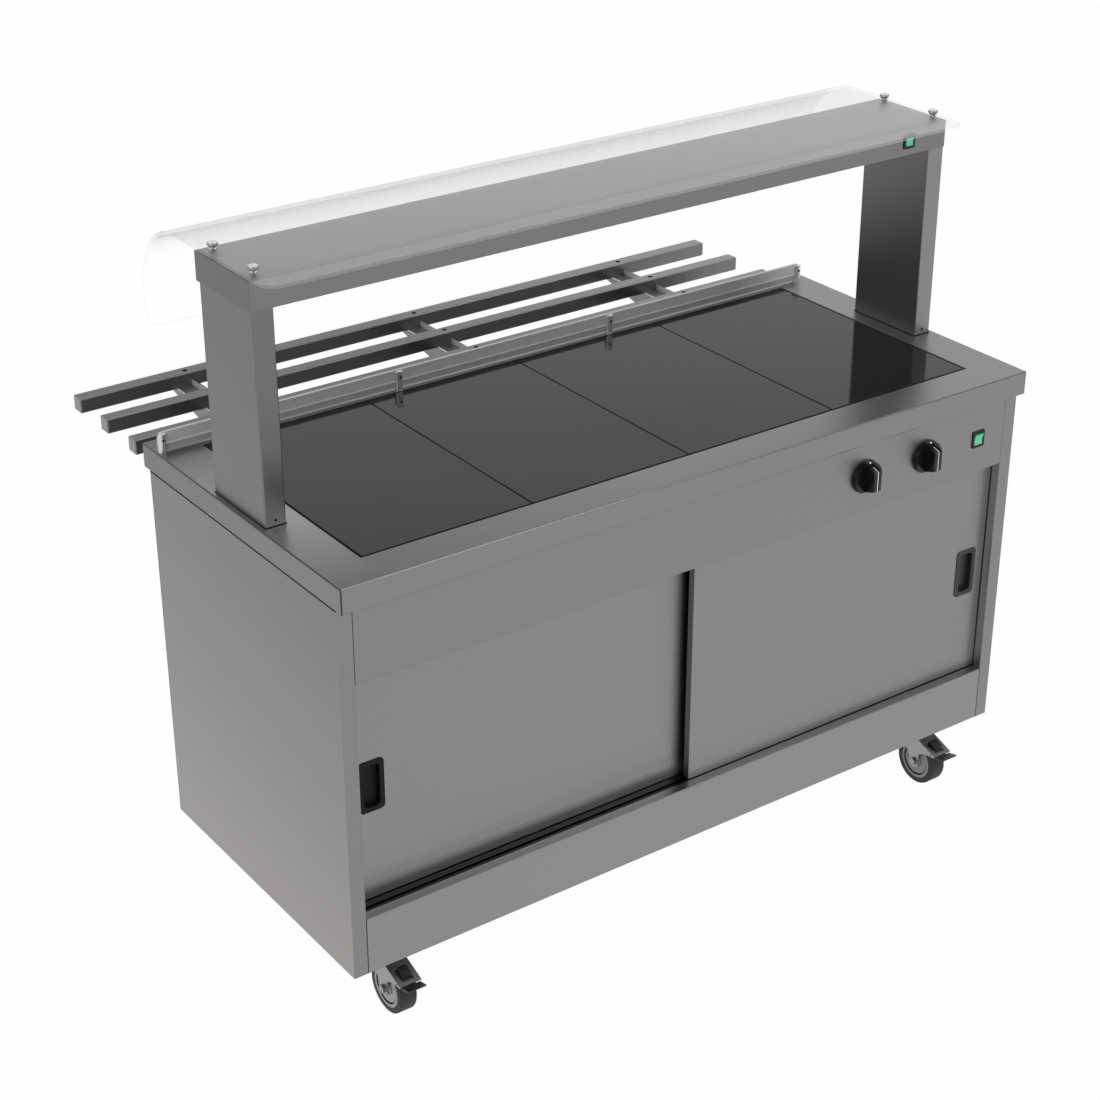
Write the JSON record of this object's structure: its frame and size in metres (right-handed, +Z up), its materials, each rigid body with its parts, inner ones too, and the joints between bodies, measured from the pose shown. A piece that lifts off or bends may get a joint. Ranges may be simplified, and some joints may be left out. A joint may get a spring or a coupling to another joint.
{
  "type": "hot cupboard",
  "caption": "Mobile stainless hot cupboard with sliding doors, a ceramic hot top, a heated gantry with bent glass and a tube tray slide, on swivel castors.",
  "frame": {"origin": "on the floor, under the middle of the whole footprint, tray slide included", "axes": "+X along the front to the operator's right, +Y towards the customer side, +Z up"},
  "size_m": [1.5, 0.9974, 1.349],
  "materials": {
    "satin_steel": "satin stainless sheet, fine long grain",
    "inner_steel": "plain mill-finish stainless sheet",
    "black_ceramic": "opaque black glass-ceramic, polished",
    "black_seal": "black silicone seal",
    "element_steel": "heat-tinted sheathed element",
    "element_disc": "pale pressed insulating disc",
    "cup_plastic": "moulded black plastic",
    "knob_plastic": "polished black thermoset",
    "nylon": "natural nylon",
    "thermostat_body": "pale ceramic-filled plastic",
    "spindle_steel": "turned steel",
    "switch_body": "black-green moulded plastic",
    "switch_green": "green translucent plastic",
    "bright_aluminium": "polished aluminium reflector",
    "lamp_quartz": "quartz tubes in ceramic ends",
    "chrome": "bright chrome plate",
    "clear_glass": "clear toughened glass, polished edges",
    "gland_plastic": "black nylon",
    "zinc_steel": "bright zinc-plated pressed steel",
    "hub_plastic": "grey moulded nylon",
    "wheel_rubber": "black non-marking rubber"
  },
  "bodies": {
    "cabinet": {"worktop": "satin_steel", "ceramic_panels": "black_ceramic", "panel_seal": "black_seal", "heater_pans": "inner_steel", "radiant_elements": "element_disc", "side_left": "satin_steel", "side_right": "satin_steel", "back_panel": "satin_steel", "base_panel": "inner_steel", "plinth": "satin_steel", "fascia": "satin_steel", "upper_track": "inner_steel", "lower_track": "inner_steel", "cupboard_liner": "inner_steel", "shelves": "inner_steel", "shelf_runners": "inner_steel", "cupboard_element": "element_steel", "thermostats": "thermostat_body", "cupboard_switch": "switch_body", "gantry_switch": "switch_body", "leg_left": "satin_steel", "leg_right": "satin_steel", "gantry_head": "satin_steel", "reflector": "bright_aluminium", "lamps": "lamp_quartz", "lamp_guard": "chrome", "gantry_glass": "clear_glass", "glass_fixings": "chrome", "strip_glass": "clear_glass", "strip_posts": "chrome", "tray_tubes": "satin_steel", "tray_brackets": "satin_steel", "cable_gland": "gland_plastic", "castor_plates": "zinc_steel"},
    "left_door": {"door_left": "satin_steel", "handle_left": "cup_plastic", "glides_left": "nylon"},
    "right_door": {"door_right": "satin_steel", "handle_right": "cup_plastic", "glides_right": "nylon"},
    "left_knob": {"knob_left": "knob_plastic", "spindle_left": "spindle_steel"},
    "right_knob": {"knob_right": "knob_plastic", "spindle_right": "spindle_steel"},
    "cupboard_rocker": {"cupboard_rocker": "switch_green"},
    "gantry_rocker": {"gantry_rocker": "switch_green"},
    "castor_fl": {"fork_fl": "zinc_steel"},
    "wheel_fl": {"tyre_fl": "wheel_rubber", "hub_fl": "hub_plastic"},
    "castor_fr": {"fork_fr": "zinc_steel"},
    "wheel_fr": {"tyre_fr": "wheel_rubber", "hub_fr": "hub_plastic"},
    "castor_rl": {"fork_rl": "zinc_steel"},
    "wheel_rl": {"tyre_rl": "wheel_rubber", "hub_rl": "hub_plastic"},
    "castor_rr": {"fork_rr": "zinc_steel"},
    "wheel_rr": {"tyre_rr": "wheel_rubber", "hub_rr": "hub_plastic"},
    "brake_fl": {"pedal_fl": "cup_plastic"},
    "brake_fr": {"pedal_fr": "cup_plastic"}
  },
  "joints": [
    {"name": "left_door_slide", "type": "slide", "parent": "cabinet", "child": "left_door", "axis": [1, 0, 0], "range_m": [0, 0.707]},
    {"name": "right_door_slide", "type": "slide", "parent": "cabinet", "child": "right_door", "axis": [-1, 0, 0], "range_m": [0, 0.707]},
    {"name": "left_knob_turn", "type": "hinge", "parent": "cabinet", "child": "left_knob", "pos_m": [0.368, -0.4661, 0.7844], "axis": [0, 1, 0], "range_deg": [0, 270]},
    {"name": "right_knob_turn", "type": "hinge", "parent": "cabinet", "child": "right_knob", "pos_m": [0.519, -0.4661, 0.7844], "axis": [0, 1, 0], "range_deg": [0, 270]},
    {"name": "cupboard_rocker_tilt", "type": "hinge", "parent": "cabinet", "child": "cupboard_rocker", "pos_m": [0.654, -0.4641, 0.7844], "axis": [-1, 0, 0], "range_deg": [0, 14]},
    {"name": "gantry_rocker_tilt", "type": "hinge", "parent": "cabinet", "child": "gantry_rocker", "pos_m": [0.649, -0.2296, 1.3065], "axis": [-1, 0, 0], "range_deg": [0, 14]},
    {"name": "swivel_fl", "type": "hinge", "parent": "cabinet", "child": "castor_fl", "pos_m": [-0.637, -0.3691, 0.136], "axis": [0, 0, 1], "continuous": true},
    {"name": "wheel_spin_fl", "type": "hinge", "parent": "castor_fl", "child": "wheel_fl", "pos_m": [-0.637, -0.4071, 0.05], "axis": [1, 0, 0], "continuous": true},
    {"name": "swivel_fr", "type": "hinge", "parent": "cabinet", "child": "castor_fr", "pos_m": [0.637, -0.3691, 0.136], "axis": [0, 0, 1], "continuous": true},
    {"name": "wheel_spin_fr", "type": "hinge", "parent": "castor_fr", "child": "wheel_fr", "pos_m": [0.637, -0.4071, 0.05], "axis": [1, 0, 0], "continuous": true},
    {"name": "swivel_rl", "type": "hinge", "parent": "cabinet", "child": "castor_rl", "pos_m": [-0.637, 0.0756, 0.136], "axis": [0, 0, 1], "continuous": true},
    {"name": "wheel_spin_rl", "type": "hinge", "parent": "castor_rl", "child": "wheel_rl", "pos_m": [-0.637, 0.1136, 0.05], "axis": [1, 0, 0], "continuous": true},
    {"name": "swivel_rr", "type": "hinge", "parent": "cabinet", "child": "castor_rr", "pos_m": [0.637, 0.0756, 0.136], "axis": [0, 0, 1], "continuous": true},
    {"name": "wheel_spin_rr", "type": "hinge", "parent": "castor_rr", "child": "wheel_rr", "pos_m": [0.637, 0.1136, 0.05], "axis": [1, 0, 0], "continuous": true},
    {"name": "brake_press_fl", "type": "hinge", "parent": "castor_fl", "child": "brake_fl", "pos_m": [-0.637, -0.4531, 0.0866], "axis": [1, 0, 0], "range_deg": [0, 8]},
    {"name": "brake_press_fr", "type": "hinge", "parent": "castor_fr", "child": "brake_fr", "pos_m": [0.637, -0.4531, 0.0866], "axis": [1, 0, 0], "range_deg": [0, 8]}
  ]
}
